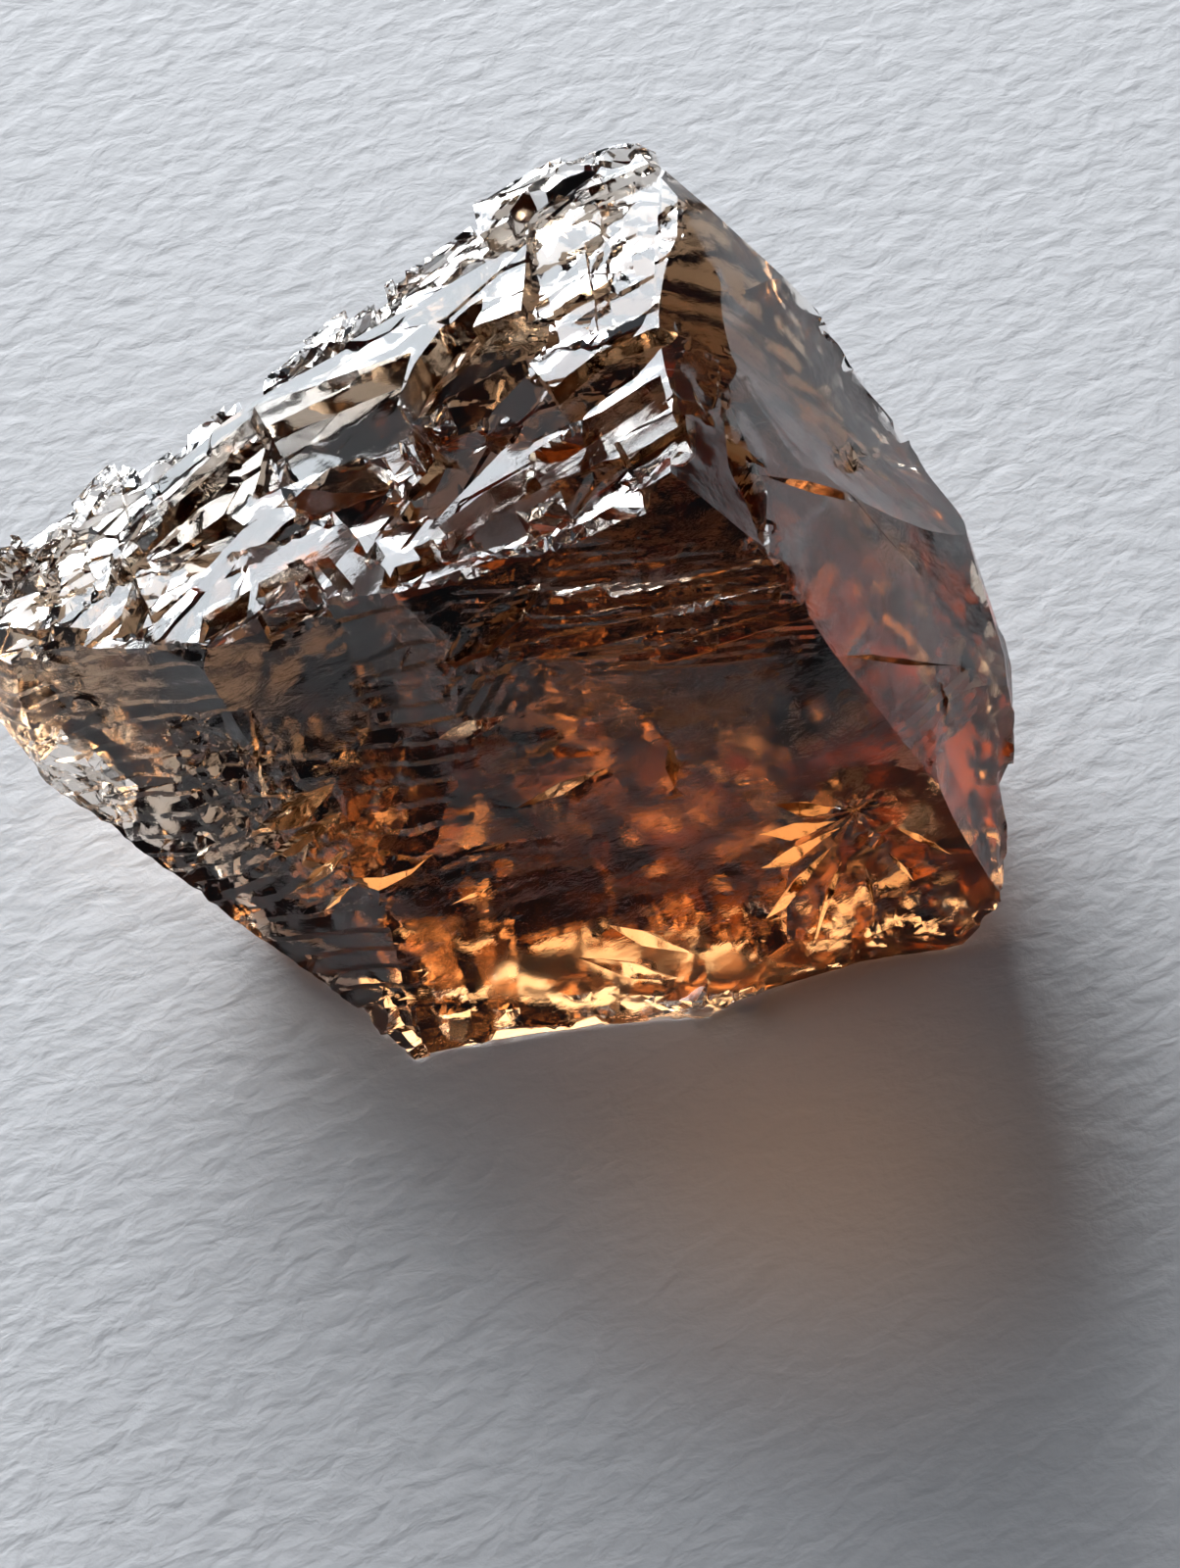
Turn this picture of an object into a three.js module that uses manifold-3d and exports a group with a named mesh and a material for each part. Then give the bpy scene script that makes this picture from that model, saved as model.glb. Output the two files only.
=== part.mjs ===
// Raw tanzanite: one broken piece of clear brown zoisite, as it is before heating.
// Millimetres, +Z up. X runs along the crystal towards its thick end, Y across it, Z up from the flat
// break that it rests on. The cleaved top slopes down to a thin end at -X and is stepped into ledges.
// The thick end is shelled by curved (conchoidal) breaks, and so are the front, the back and the base.
import * as THREE from "three";
import { ConvexGeometry } from "three/addons/geometries/ConvexGeometry.js";
import { mergeVertices } from "three/addons/utils/BufferGeometryUtils.js";
import Module from "manifold-3d";

const wasm = await Module();
wasm.setup();

// ---------------------------------------------------------------- driving dimensions, mm
// Corners of the broken block before it is chipped.
const CORNERS = {
  // rim of the cleaved top, from the thin end along the front, round the crest and back
  thinEnd: [-17.6, 0.9, 6.4],
  rimThin: [-15.3, -1.4, 7.5],
  rimLeft: [-11.0, -2.9, 9.2],
  rimMiddle: [-8.0, -3.6, 10.5],
  rimCorner: [-4.2, -2.7, 11.8],
  rimRight: [0.0, -2.0, 13.3],
  crestFront: [2.0, -1.0, 14.0],
  crestMiddle: [1.8, 3.5, 13.4],
  crestBack: [2.3, 9.6, 12.9],
  apex: [1.0, 12.4, 12.2],
  backShoulder: [-1.1, 12.3, 11.5],
  backNotch: [-3.0, 11.6, 10.9],
  backMiddle: [-5.8, 9.8, 10.5],
  backLeft: [-11.1, 7.1, 9.2],
  backThin: [-15.8, 3.3, 7.1],
  // ridge between the front and the thick end, running down to the toe
  shoulderTop: [4.3, -2.2, 12.5],
  shoulderMiddle: [6.2, -3.4, 9.7],
  shoulderLow: [8.3, -4.2, 6.7],
  toeTop: [9.9, -4.7, 4.1],
  toe: [11.0, -5.2, 1.6],
  // facets of the thick end
  leafTop: [3.1, 9.7, 12.4],
  leafMiddle: [3.4, 4.7, 12.9],
  leafLow: [3.0, 2.5, 13.2],
  faceHigh: [4.4, 0.3, 12.3],
  faceMiddle: [5.7, 1.7, 11.0],
  faceLow: [10.8, 0.3, 5.6],
  endTop: [3.5, 9.2, 11.8],
  endHigh: [6.4, 7.6, 10.0],
  endMiddle: [9.1, 6.2, 8.1],
  endLow: [10.1, 3.3, 6.0],
  endRight: [11.1, 0.4, 4.6],
  endToe: [11.5, -3.3, 3.0],
  // front: a belt across it, and a narrow bevel between it and the left face
  beltLeft: [-4.2, -4.3, 8.2],
  beltMiddle: [-1.1, -4.3, 9.7],
  bevelTopLeft: [-5.7, -4.0, 7.6],
  bevelLowLeft: [-4.5, -7.8, 1.2],
  bevelLowRight: [-3.6, -7.9, 1.3],
  // left face, down to the underside of the thin end
  leftLow: [-7.8, -7.0, 1.0],
  leftMiddle: [-11.4, -4.8, 2.2],
  leftHigh: [-14.3, -2.7, 3.5],
  thinLow: [-15.6, -1.2, 4.2],
  thinEndLow: [-17.2, 0.8, 5.3],
  // base
  footFront: [-4.5, -9.2, 0],
  footFrontMiddle: [-1.0, -9.1, 0],
  footMiddle: [2.4, -8.45, 0],
  footRight: [9.9, -5.4, 0],
  footRightBack: [9.2, 1.5, 0],
  footBackRight: [5.0, 6.5, 0],
  footBackLeft: [-1.5, 8.2, 0],
  footLeftBack: [-8.0, 3.0, 0],
  footLeft: [-8.8, -4.6, 0],
  thinLowBack: [-14.2, 2.4, 4.0],
};

// The faces that ledges are cut in. On each, s runs along it and t across it, in mm from the origin.
const FACES = {
  top: { origin: CORNERS.crestFront, along: [0.9, 0.28, 0.3], up: [-0.351, 0.095, 0.931] },
  band: { origin: [1.0, -3.6, 10.6], along: [1, 0.02, 0.2], up: [0.06, -0.87, 0.49] },
  left: { origin: [-9.6, -4.4, 5.0], along: [0.9, -0.4, 0.1], up: [-0.38, -0.88, 0.26] },
  crest: { origin: [3.0, 1.6, 13.2], along: [0.1, 1, -0.05], up: [0.5, 0.02, 0.86] },
  end: { origin: [7.4, 2.0, 8.6], along: [-0.2, 1, 0.1], up: [0.76, 0.02, 0.65] },
  back: { origin: [-2.0, 10.0, 6.0], along: [-0.9, 0.4, -0.1], up: [-0.2, 0.96, -0.2] },
  under: { origin: [-11.4, 0.0, 3.0], along: [1, 0, -0.4], up: [-0.4, 0.0, -0.92] },
  base: { origin: [0, 0, 0], along: [1, 0, 0], up: [0, 0, -1] }, // t runs towards the front
};

// Ledges, each a flat floor left where a thin slab has come away. turn is in the face, and pitch and
// roll tip the floor about its width and its length. A leaf is pointed at both ends, and any other
// ledge is a parallelogram with its ends skewed.
const LEDGES = [
  { face: "top", at: [-6.3, 11.4], size: [8.4, 3.4], turn: 14, depth: 0.45, roll: -9 },
  { face: "top", at: [-11.6, 10.2], size: [4.4, 3.8], turn: 18, depth: 0.4, roll: -8, pitch: 3 },
  { face: "top", at: [-7.7, 7.5], size: [4.4, 2.1], turn: -6, depth: 0.7, roll: 9 },
  { face: "top", at: [-7.4, 6.0], size: [3.6, 1.3], turn: -6, depth: 0.9, roll: 4 },
  { face: "top", at: [-11.7, 5.7], size: [4.8, 3.2], turn: 24, depth: 0.5, pitch: 2 },
  { face: "top", at: [-9.0, 4.6], size: [4.4, 1.5], turn: 10, depth: 0.9, roll: 24, leaf: true },
  { face: "top", at: [-4.3, 7.9], size: [4.2, 1.0], turn: 44, depth: 0.5, roll: -22, leaf: true },
  { face: "top", at: [-3.6, 7.0], size: [4.6, 2.4], turn: 24, depth: 1.2, roll: 28, leaf: true },
  { face: "top", at: [-4.2, 4.5], size: [4.6, 2.6], turn: 30, depth: 0.7, roll: 12, pitch: 8 },
  { face: "top", at: [0.2, 9.2], size: [3.8, 5.6], turn: 2, depth: 0.35, pitch: -2 },
  { face: "top", at: [-1.8, 11.4], size: [1.5, 1.0], turn: 10, depth: 0.7, roll: 18 },
  { face: "top", at: [0.1, 12.6], size: [3.4, 1.5], turn: 22, depth: 0.5, roll: -14, leaf: true },
  { face: "top", at: [-1.0, 4.4], size: [5.4, 1.7], turn: 22, depth: 0.8, roll: 26, leaf: true },
  { face: "top", at: [-1.3, 2.5], size: [4.0, 1.3], turn: 14, depth: 0.6, roll: -2 },
  { face: "top", at: [-1.0, 1.2], size: [3.6, 1.2], turn: 10, depth: 0.7, roll: -8 },
  { face: "top", at: [-3.6, 1.7], size: [5.4, 1.3], turn: 4, depth: 0.9, roll: 24, leaf: true },
  { face: "top", at: [-4.2, 0.6], size: [7.0, 1.0], turn: -8, depth: 0.6, roll: -6 },
  { face: "top", at: [-6.9, 3.2], size: [2.6, 3.0], turn: 35, depth: 0.5, pitch: -7 },
  { face: "top", at: [-13.8, 4.3], size: [0.8, 2.0], turn: -12, depth: 0.5, pitch: 22 },
  { face: "top", at: [-14.8, 8.6], size: [3.6, 4.6], turn: 30, depth: 0.45, pitch: 5, roll: -7 },
  { face: "top", at: [-16.6, 6.2], size: [3.4, 3.0], turn: 25, depth: 0.5, pitch: -5, roll: 4 },
  { face: "band", at: [1.2, 1.0], size: [6.0, 0.5], turn: -3, depth: 0.35, roll: -20 },
  { face: "band", at: [0.4, 0.2], size: [7.0, 0.5], turn: 2, depth: 0.3, roll: -16 },
  { face: "band", at: [2.2, -0.5], size: [5.2, 0.4], turn: 5, depth: 0.3, roll: -20 },
  { face: "band", at: [-3.4, 0.9], size: [3.4, 1.0], turn: 32, depth: 0.5, roll: 14, leaf: true },
  { face: "left", at: [3.0, 0.6], size: [1.0, 4.4], turn: 8, depth: 0.35, pitch: 14 },
  { face: "left", at: [1.4, 1.6], size: [1.2, 2.6], turn: 24, depth: 0.4, pitch: 12 },
  { face: "left", at: [-0.6, 0.9], size: [2.0, 2.2], turn: 32, depth: 0.4, pitch: -10 },
  { face: "left", at: [-2.6, 0.2], size: [2.2, 1.8], turn: 20, depth: 0.35, roll: 12 },
  { face: "crest", at: [2.0, 0.2], size: [4.2, 1.0], turn: 4, depth: 0.2, leaf: true },
  { face: "end", at: [2.0, 0.3], size: [1.7, 0.8], turn: -30, depth: 0.3, roll: 10, leaf: true },
  { face: "end", at: [-5.4, -1.4], size: [2.6, 1.8], turn: 16, depth: 0.35, pitch: 12 },
  { face: "back", at: [-2.0, 1.6], size: [6.0, 2.4], turn: 10, depth: 0.7, roll: 10 },
  { face: "back", at: [2.6, -1.0], size: [4.0, 3.0], turn: -14, depth: 0.8, roll: -8 },
  { face: "back", at: [5.4, 1.0], size: [3.6, 2.0], turn: 22, depth: 0.7, pitch: 10 },
  { face: "back", at: [-4.0, -2.4], size: [3.6, 1.8], turn: 30, depth: 0.6, pitch: -9 },
  { face: "under", at: [-1.6, 0.8], size: [3.0, 2.2], turn: 20, depth: 0.4, pitch: 8 },
  { face: "under", at: [1.4, -1.2], size: [2.8, 2.0], turn: -25, depth: 0.4, roll: 10 },
  { face: "base", at: [1.6, 3.9], size: [2.4, 1.0], turn: -12, depth: 0.2, pitch: -14, roll: 11 },
  { face: "base", at: [1.8, -3.4], size: [2.0, 1.1], turn: 75, depth: 0.2, pitch: 8, roll: 16 },
  { face: "base", at: [-3.2, -4.9], size: [2.6, 1.2], turn: 12, depth: 0.3, pitch: -14, roll: 11 },
  { face: "base", at: [-3.4, 2.7], size: [0.9, 0.9], turn: 20, depth: 0.12, pitch: -15, roll: 10 },
  { face: "base", at: [-1.2, -0.8], size: [1.0, 1.2], turn: -15, depth: 0.15, pitch: -16, roll: 12 },
  { face: "base", at: [5.0, -3.6], size: [3.2, 2.2], turn: 20, depth: 0.3, pitch: 6, roll: -5 },
];

// Rows of narrow ledges side by side, whose floors all tip the same way like the teeth of a saw. step
// is from one to the next, and jitter is how far one strays from the rest, as a share of its values.
const COMBS = [
  {
    name: "front edge of the base", face: "base", at: [-3.5, 6.0], step: [1.1, -0.06], count: 8,
    size: [1.3, 2.2], turn: 6, depth: 0.24, pitch: -15, roll: 10, jitter: 0.4,
  },
  {
    name: "right of the base", face: "base", at: [5.3, 3.6], step: [1.0, -0.5], count: 4,
    size: [1.0, 2.6], turn: -8, depth: 0.2, pitch: -14, roll: 10, jitter: 0.3,
  },
  {
    name: "left of the base", face: "base", at: [-6.9, 1.6], step: [0.55, -0.5], count: 6,
    size: [0.5, 2.6], turn: -30, depth: 0.15, pitch: -24, roll: 10, jitter: 0.3,
  },
  {
    name: "back strip of the top", face: "top", at: [-12.4, 10.4], step: [0.95, 0.22], count: 9,
    size: [0.8, 2.6], turn: 8, depth: 0.75, pitch: 9, roll: -12, jitter: 0.5,
  },
  {
    name: "streaks beside the crest", face: "top", at: [-1.3, 7.6], step: [0.62, 0.5], count: 5,
    size: [0.5, 3.2], turn: 4, depth: 0.42, pitch: -7, jitter: 0.4,
  },
];

const COMB_TURN = 30; // degrees that a tooth turns from the rest of its comb at a jitter of 1

// Places where the surface has crumbled into small chips, scattered up to spread either side of at.
const CRUMBLES = [
  {
    name: "thin end of the top", face: "top", at: [-15.0, 7.4], spread: [3.0, 2.2], count: 13,
    size: [1.3, 0.8], depth: 0.55, tip: 24,
  },
  {
    name: "middle of the top", face: "top", at: [-4.6, 4.6], spread: [1.8, 1.4], count: 7,
    size: [1.2, 0.6], depth: 0.8, tip: 20,
  },
  {
    name: "front rim of the top", face: "top", at: [-9.4, 1.8], spread: [2.6, 0.8], count: 7,
    size: [1.1, 0.6], depth: 0.4, tip: 22,
  },
];
const LEDGE_SKEW = 0.35; // how far a ledge's far side is shifted, as a share of its width
const LEAF_STEPS = 5; // corners along each side of a leaf

// Shell-like breaks. Each is a shallow bowl whose deepest point lies under a point of the surface, and
// it faces the way that "out" says.
const SHELLS = [
  { name: "front", at: [1.2, -6.0, 4.8], out: [0.05, -0.91, 0.4], radius: 30, depth: 0.75, turn: 90 },
  { name: "frontRight", at: [7.2, -5.6, 3.4], out: [0.28, -0.92, 0.3], radius: 11, depth: 0.6, turn: 60 },
  { name: "edgeLeft", at: [-2.0, -8.6, 0.4], out: [-0.1, -0.8, 0.5], radius: 6, depth: 0.15, turn: 80 },
  { name: "edgeMiddle", at: [1.6, -8.0, 0.4], out: [0.1, -0.8, 0.3], radius: 5, depth: 0.2, turn: 90 },
  { name: "edgeRight", at: [6.0, -6.8, 0.2], out: [0.33, -0.9, 0.1], radius: 12, depth: 0.4, turn: 90 },
  { name: "left", at: [-10.0, -4.2, 5.0], out: [-0.4, -0.87, 0.2], radius: 18, depth: 0.5, turn: 70 },
  { name: "swirl", at: [-6.3, -3.6, 8.2], out: [-0.15, -0.92, 0.32], radius: 9, depth: 0.35, turn: 30 },
  { name: "leaf", at: [2.7, 6.2, 13.0], out: [0.35, 0, 0.93], radius: 12, depth: 0.2 },
  { name: "bandUpper", at: [4.8, 5.0, 11.9], out: [0.62, 0.1, 0.76], radius: 14, depth: 0.35 },
  { name: "endUpper", at: [6.2, 4.6, 9.8], out: [0.72, 0.15, 0.66], radius: 14, depth: 0.3, turn: 20 },
  { name: "endLower", at: [7.6, -1.0, 9.0], out: [0.78, -0.1, 0.6], radius: 26, depth: 0.35, turn: 10 },
  { name: "endToe", at: [10.0, -3.0, 4.6], out: [0.84, -0.3, 0.4], radius: 10, depth: 0.3 },
  { name: "back", at: [1.4, 9.6, 4.6], out: [0.15, 0.92, -0.35], radius: 18, depth: 0.5, turn: 80 },
  { name: "backLeft", at: [-7.4, 5.4, 4.6], out: [-0.5, 0.78, -0.35], radius: 14, depth: 0.4, turn: 60 },
  { name: "backRight", at: [7.4, 4.6, 2.6], out: [0.72, 0.6, -0.3], radius: 12, depth: 0.35, turn: 30 },
  { name: "right", at: [10.8, -0.8, 1.6], out: [0.96, 0.0, -0.25], radius: 12, depth: 0.25, turn: 70 },
  { name: "under", at: [-11.4, 1.2, 2.9], out: [-0.35, 0.1, -0.93], radius: 10, depth: 0.4, turn: 50 },
  { name: "baseLeft", at: [-8.2, -0.4, 0.2], out: [-0.2, 0, -1], radius: 12, depth: 0.4, turn: 80 },
  { name: "baseRight", at: [8.0, 3.4, 0.2], out: [0.2, 0.2, -1], radius: 10, depth: 0.4, turn: 40 },
  { name: "baseBack", at: [1.8, 7.6, 0.2], out: [0, 0.3, -1], radius: 8, depth: 0.4, turn: 10 },
];
const SHELL_STRETCH = [1.2, 0.85, 1]; // makes the bowls oval
const SHELL_SIDES = 24;
const SHELL_RING = 0.8; // width of a shell's rings

// Gashes, each line of which runs between two points of the surface and is deepest half-way. A gash
// faces the way that "out" says.
const GASHES = [
  {
    name: "notch", out: [0.55, 0, 0.83], width: 0.9, depth: 0.9,
    lines: [[[3.3, 3.0, 13.1], [4.6, -2.6, 12.3]], [[3.9, 1.4, 12.8], [4.5, -1.8, 12.4]]],
  },
  {
    name: "creases of the thick end", out: [0.74, -0.05, 0.67], width: 0.4, depth: 0.26,
    lines: [
      [[4.3, 0.3, 12.4], [6.8, 1.5, 9.9]],
      [[6.4, 1.6, 10.6], [10.8, 0.4, 5.5]],
      [[6.4, -3.3, 9.5], [10.0, -0.6, 5.8]],
    ],
  },
  {
    name: "crack", out: [0.1, -0.94, 0.3], width: 0.35, depth: 0.7,
    lines: [[[-2.1, -5.3, 5.5], [0.6, -4.6, 6.6]]],
  },
  {
    name: "flakes of the front", out: [0, -0.9, 0.43], width: 0.6, depth: 0.38,
    lines: [
      [[2.0, -4.3, 7.4], [2.2, -4.9, 5.7]],
      [[0.3, -6.5, 2.4], [2.6, -6.8, 1.5]],
      [[-0.3, -7.0, 1.6], [2.3, -7.2, 0.9]],
      [[-4.2, -4.5, 7.4], [-1.8, -4.3, 8.4]],
    ],
  },
  {
    name: "streaks of the front", out: [0.2, -0.89, 0.4], width: 0.35, depth: 0.25,
    lines: [[[-4.0, -6.2, 4.5], [-1.4, -5.5, 4.8]], [[-4.0, -6.8, 3.2], [-2.0, -6.1, 3.8]]],
  },
  {
    name: "hackles", out: [0.1, -0.91, 0.38], width: 0.5, depth: 0.4, // a fan of ridges at front right
    lines: [
      [[6.6, -4.8, 5.0], [4.4, -5.1, 5.6]],
      [[6.5, -4.9, 4.7], [4.1, -5.4, 4.6]],
      [[6.5, -4.9, 4.4], [4.1, -5.9, 3.6]],
      [[6.6, -5.0, 4.2], [4.4, -6.5, 2.2]],
      [[6.8, -5.0, 4.0], [5.8, -6.5, 1.2]],
      [[7.0, -5.0, 4.0], [7.7, -6.0, 1.0]],
      [[7.2, -4.9, 4.2], [9.1, -5.4, 1.6]],
      [[7.3, -4.8, 4.6], [9.8, -4.8, 2.8]],
    ],
  },
  {
    name: "ribs of the left face", out: [-0.45, -0.83, 0.33], width: 0.5, depth: 0.45,
    lines: [
      [[-6.0, -4.6, 6.4], [-9.0, -4.5, 3.4]],
      [[-5.9, -5.0, 5.8], [-8.9, -5.0, 2.6]],
      [[-5.8, -5.8, 5.2], [-8.3, -5.6, 1.9]],
      [[-5.7, -6.4, 4.6], [-7.8, -6.2, 1.4]],
      [[-11.2, -3.0, 7.0], [-7.6, -4.7, 6.0]],
    ],
  },
];

// A rounded lump at the apex, mostly sunk in the stone.
const KNOB = { at: [1.0, 11.75, 11.75], radius: 0.85, stretch: [1.1, 0.9, 0.8] };

const FAR = 60; // longer than the stone, for cutters that reach past it
const CLEAR = 0.6; // how far a gash's cutter stands clear of the surface

// ---------------------------------------------------------------- making and cutting solids
function toSolid(geometry) {
  const bare = geometry.clone();
  bare.deleteAttribute("normal");
  bare.deleteAttribute("uv");
  const merged = mergeVertices(bare, 1e-5);
  return new wasm.Manifold(
    new wasm.Mesh({
      numProp: 3,
      vertProperties: new Float32Array(merged.attributes.position.array),
      triVerts: new Uint32Array(merged.index.array),
    }),
  );
}

function toGeometry(solid) {
  const mesh = solid.getMesh();
  const geometry = new THREE.BufferGeometry();
  geometry.setAttribute("position", new THREE.BufferAttribute(mesh.vertProperties, 3));
  geometry.setIndex(new THREE.BufferAttribute(mesh.triVerts, 1));
  const flat = geometry.toNonIndexed();
  flat.computeVertexNormals();
  return flat;
}

const radians = THREE.MathUtils.degToRad;
const vector = (values) => new THREE.Vector3(...values);

// A frame with its Z along up and its X as near to along as it can be.
function frameAt(origin, along, up) {
  const z = up.clone().normalize();
  const y = new THREE.Vector3().crossVectors(z, along).normalize();
  const x = new THREE.Vector3().crossVectors(y, z);
  return new THREE.Matrix4().makeBasis(x, y, z).setPosition(origin);
}

// ---------------------------------------------------------------- cutters
function ledgeOutline({ size: [length, width], leaf = false }) {
  const outline = [];
  if (leaf) {
    for (let i = 0; i < 2 * LEAF_STEPS; i++) {
      const angle = (i / LEAF_STEPS) * Math.PI;
      const bulge = Math.sin(angle) * Math.abs(Math.sin(angle)) ** 0.6;
      outline.push([(length / 2) * Math.cos(angle), (width / 2) * bulge]);
    }
    return outline;
  }
  const skew = (width * LEDGE_SKEW) / 2;
  for (const [x, y] of [[-1, -1], [1, -1], [1, 1], [-1, 1]])
    outline.push([(x * length) / 2 + y * skew, (y * width) / 2]);
  return outline;
}

// Everything over a tipped floor inside the ledge's outline. Its walls stay square to the face.
function ledgeCutter(ledge) {
  const { face, at: [s, t], turn = 0, depth, pitch = 0, roll = 0 } = ledge;
  const { origin, along, up } = FACES[face];
  const shape = new THREE.Shape(ledgeOutline(ledge).map(([x, y]) => new THREE.Vector2(x, y)));
  const prism = new THREE.ExtrudeGeometry(shape, { depth: FAR, bevelEnabled: false });
  const tip = new THREE.Matrix4().set(
    1, 0, 0, 0,
    0, 1, 0, 0,
    Math.tan(radians(pitch)), Math.tan(radians(roll)), 1, 0,
    0, 0, 0, 1,
  );
  const place = frameAt(vector(origin), vector(along), vector(up))
    .multiply(new THREE.Matrix4().makeTranslation(s, t, -depth))
    .multiply(new THREE.Matrix4().makeRotationZ(radians(turn)))
    .multiply(tip);
  return prism.applyMatrix4(place);
}

// A number from -1 to 1 that is always the same for the same seed.
function stray(seed) {
  const wave = Math.sin(seed * 12.9898) * 43758.5453;
  return 2 * (wave - Math.floor(wave)) - 1;
}

function combLedges(comb, seed) {
  const { face, at, step, count, size, turn, depth, pitch = 0, roll = 0, jitter } = comb;
  return Array.from({ length: count }, (_, i) => {
    const off = (part) => jitter * stray(seed * 31 + i * 7 + part);
    const along = i + off(0);
    return {
      face,
      at: [at[0] + step[0] * along, at[1] + step[1] * along + off(1)],
      size: [size[0] * (1 + off(2)), size[1] * (1 + off(3))],
      turn: turn + COMB_TURN * off(4),
      depth: depth * (1 + off(5)),
      pitch: pitch * (1 + off(6)),
      roll: roll * (1 + off(7)),
    };
  });
}

function crumbleLedges({ face, at, spread, count, size, depth, tip }, seed) {
  return Array.from({ length: count }, (_, i) => {
    const off = (part) => stray(seed * 57 + i * 11 + part);
    return {
      face,
      at: [at[0] + spread[0] * off(1), at[1] + spread[1] * off(2)],
      size: [size[0] * (1 + 0.4 * off(3)), size[1] * (1 + 0.4 * off(4))],
      turn: 90 * off(5),
      depth: depth * (1 + 0.3 * off(6)),
      pitch: tip * off(7),
      roll: tip * off(8),
    };
  });
}

// A ball that leaves a bowl of the stated depth, with its rings close together only where it cuts.
function shellCutter({ at, out, radius, depth, turn = 0 }) {
  const reach = Math.acos(1 - (3 * depth) / radius);
  const rings = Math.max(3, Math.round((reach * radius) / SHELL_RING));
  const profile = [new THREE.Vector2(0, -radius)];
  for (let i = 1; i <= rings; i++) {
    const angle = (reach * i) / rings;
    profile.push(new THREE.Vector2(radius * Math.sin(angle), -radius * Math.cos(angle)));
  }
  profile.push(new THREE.Vector2(radius * Math.sin(reach), radius), new THREE.Vector2(0, radius));
  const up = vector(out).normalize();
  const centre = vector(at).addScaledVector(up, radius - depth);
  const ball = new THREE.LatheGeometry(profile, SHELL_SIDES).rotateX(Math.PI / 2);
  ball.scale(...SHELL_STRETCH).rotateZ(radians(turn));
  return ball.applyMatrix4(frameAt(centre, new THREE.Vector3(0.3, 0.2, 0.9), up));
}

function gashCutter([from, to], { out, width, depth }) {
  const start = vector(from);
  const end = vector(to);
  const up = vector(out).normalize();
  const middle = start.clone().lerp(end, 0.5);
  const side = new THREE.Vector3().crossVectors(up, end.clone().sub(start)).setLength(width);
  const lip = middle.clone().addScaledVector(up, CLEAR);
  const bottom = middle.clone().addScaledVector(up, -depth);
  return new ConvexGeometry([start, end, bottom, lip.clone().add(side), lip.clone().sub(side)]);
}

// ---------------------------------------------------------------- the stone
function makeStone() {
  let stone = toSolid(new ConvexGeometry(Object.values(CORNERS).map(vector)));
  for (const shell of SHELLS) stone = stone.subtract(toSolid(shellCutter(shell)));
  const ledges = [...LEDGES, ...COMBS.flatMap(combLedges), ...CRUMBLES.flatMap(crumbleLedges)];
  for (const ledge of ledges) stone = stone.subtract(toSolid(ledgeCutter(ledge)));
  for (const gash of GASHES)
    for (const line of gash.lines) stone = stone.subtract(toSolid(gashCutter(line, gash)));
  const knob = new THREE.IcosahedronGeometry(KNOB.radius, 1).scale(...KNOB.stretch);
  const bodies = stone.add(toSolid(knob.translate(...KNOB.at))).decompose();
  return bodies.reduce((most, body) => (body.volume() > most.volume() ? body : most)); // drops loose chips
}

// Set down with its box centred over the origin.
const shape = toGeometry(makeStone());
shape.computeBoundingBox();
const middle = shape.boundingBox.getCenter(new THREE.Vector3());
shape.translate(-middle.x, -middle.y, -shape.boundingBox.min.z);

const crystal = new THREE.Mesh(
  shape,
  new THREE.MeshStandardMaterial({ color: 0x6b3a1c, roughness: 0.1, metalness: 0 }),
);
crystal.name = "tanzanite_crystal";

const rawTanzanite = new THREE.Group();
rawTanzanite.add(crystal);

export default rawTanzanite;
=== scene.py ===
import math

import bmesh
import bpy
import numpy as np
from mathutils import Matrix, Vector


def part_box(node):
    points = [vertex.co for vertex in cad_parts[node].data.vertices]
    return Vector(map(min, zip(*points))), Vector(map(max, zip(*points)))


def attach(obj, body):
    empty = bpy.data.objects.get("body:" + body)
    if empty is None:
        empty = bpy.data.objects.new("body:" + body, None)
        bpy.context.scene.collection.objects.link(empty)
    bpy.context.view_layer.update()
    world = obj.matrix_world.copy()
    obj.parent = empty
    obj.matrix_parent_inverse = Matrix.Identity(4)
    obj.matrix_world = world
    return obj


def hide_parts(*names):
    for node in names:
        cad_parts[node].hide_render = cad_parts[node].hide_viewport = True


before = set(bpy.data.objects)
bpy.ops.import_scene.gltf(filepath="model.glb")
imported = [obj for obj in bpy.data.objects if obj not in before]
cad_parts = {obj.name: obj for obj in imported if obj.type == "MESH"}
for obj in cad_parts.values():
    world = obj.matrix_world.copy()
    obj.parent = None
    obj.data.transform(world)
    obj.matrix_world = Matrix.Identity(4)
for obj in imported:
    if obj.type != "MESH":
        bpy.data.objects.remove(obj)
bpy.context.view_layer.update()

MM = 0.001

# The camera looks at this point of the floor, and places on the crystal are given from it, in mm.
AIM = np.array([3.184, -1.687, 0.0])

# Which way each face of the crystal looks, and a direction along it.
FACES = {
    "top": ((-0.351, 0.095, 0.931), (0.9, 0.28, 0.3)),
    "front": ((0.05, -0.91, 0.4), (1, 0.05, 0)),
    "left": ((-0.42, -0.84, 0.34), (0.9, -0.4, 0.1)),
    "end": ((0.76, 0.0, 0.65), (-0.2, 1, 0.1)),
    "base": ((0, 0, -1), (1, 0, 0)),
    "back": ((0.1, 0.93, -0.36), (-1, 0.1, 0)),
    "under": ((-0.42, 0.1, -0.9), (1, 0, -0.4)),
    "right": ((0.95, 0.1, -0.3), (0, 1, 0)),
    "low": ((-0.08, 0.70, -0.66), (-1, 0.1, 0)),
}
REGIONS = {name: 3 + i for i, name in enumerate(FACES)}  # columns that hold how far a point is in a face


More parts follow.
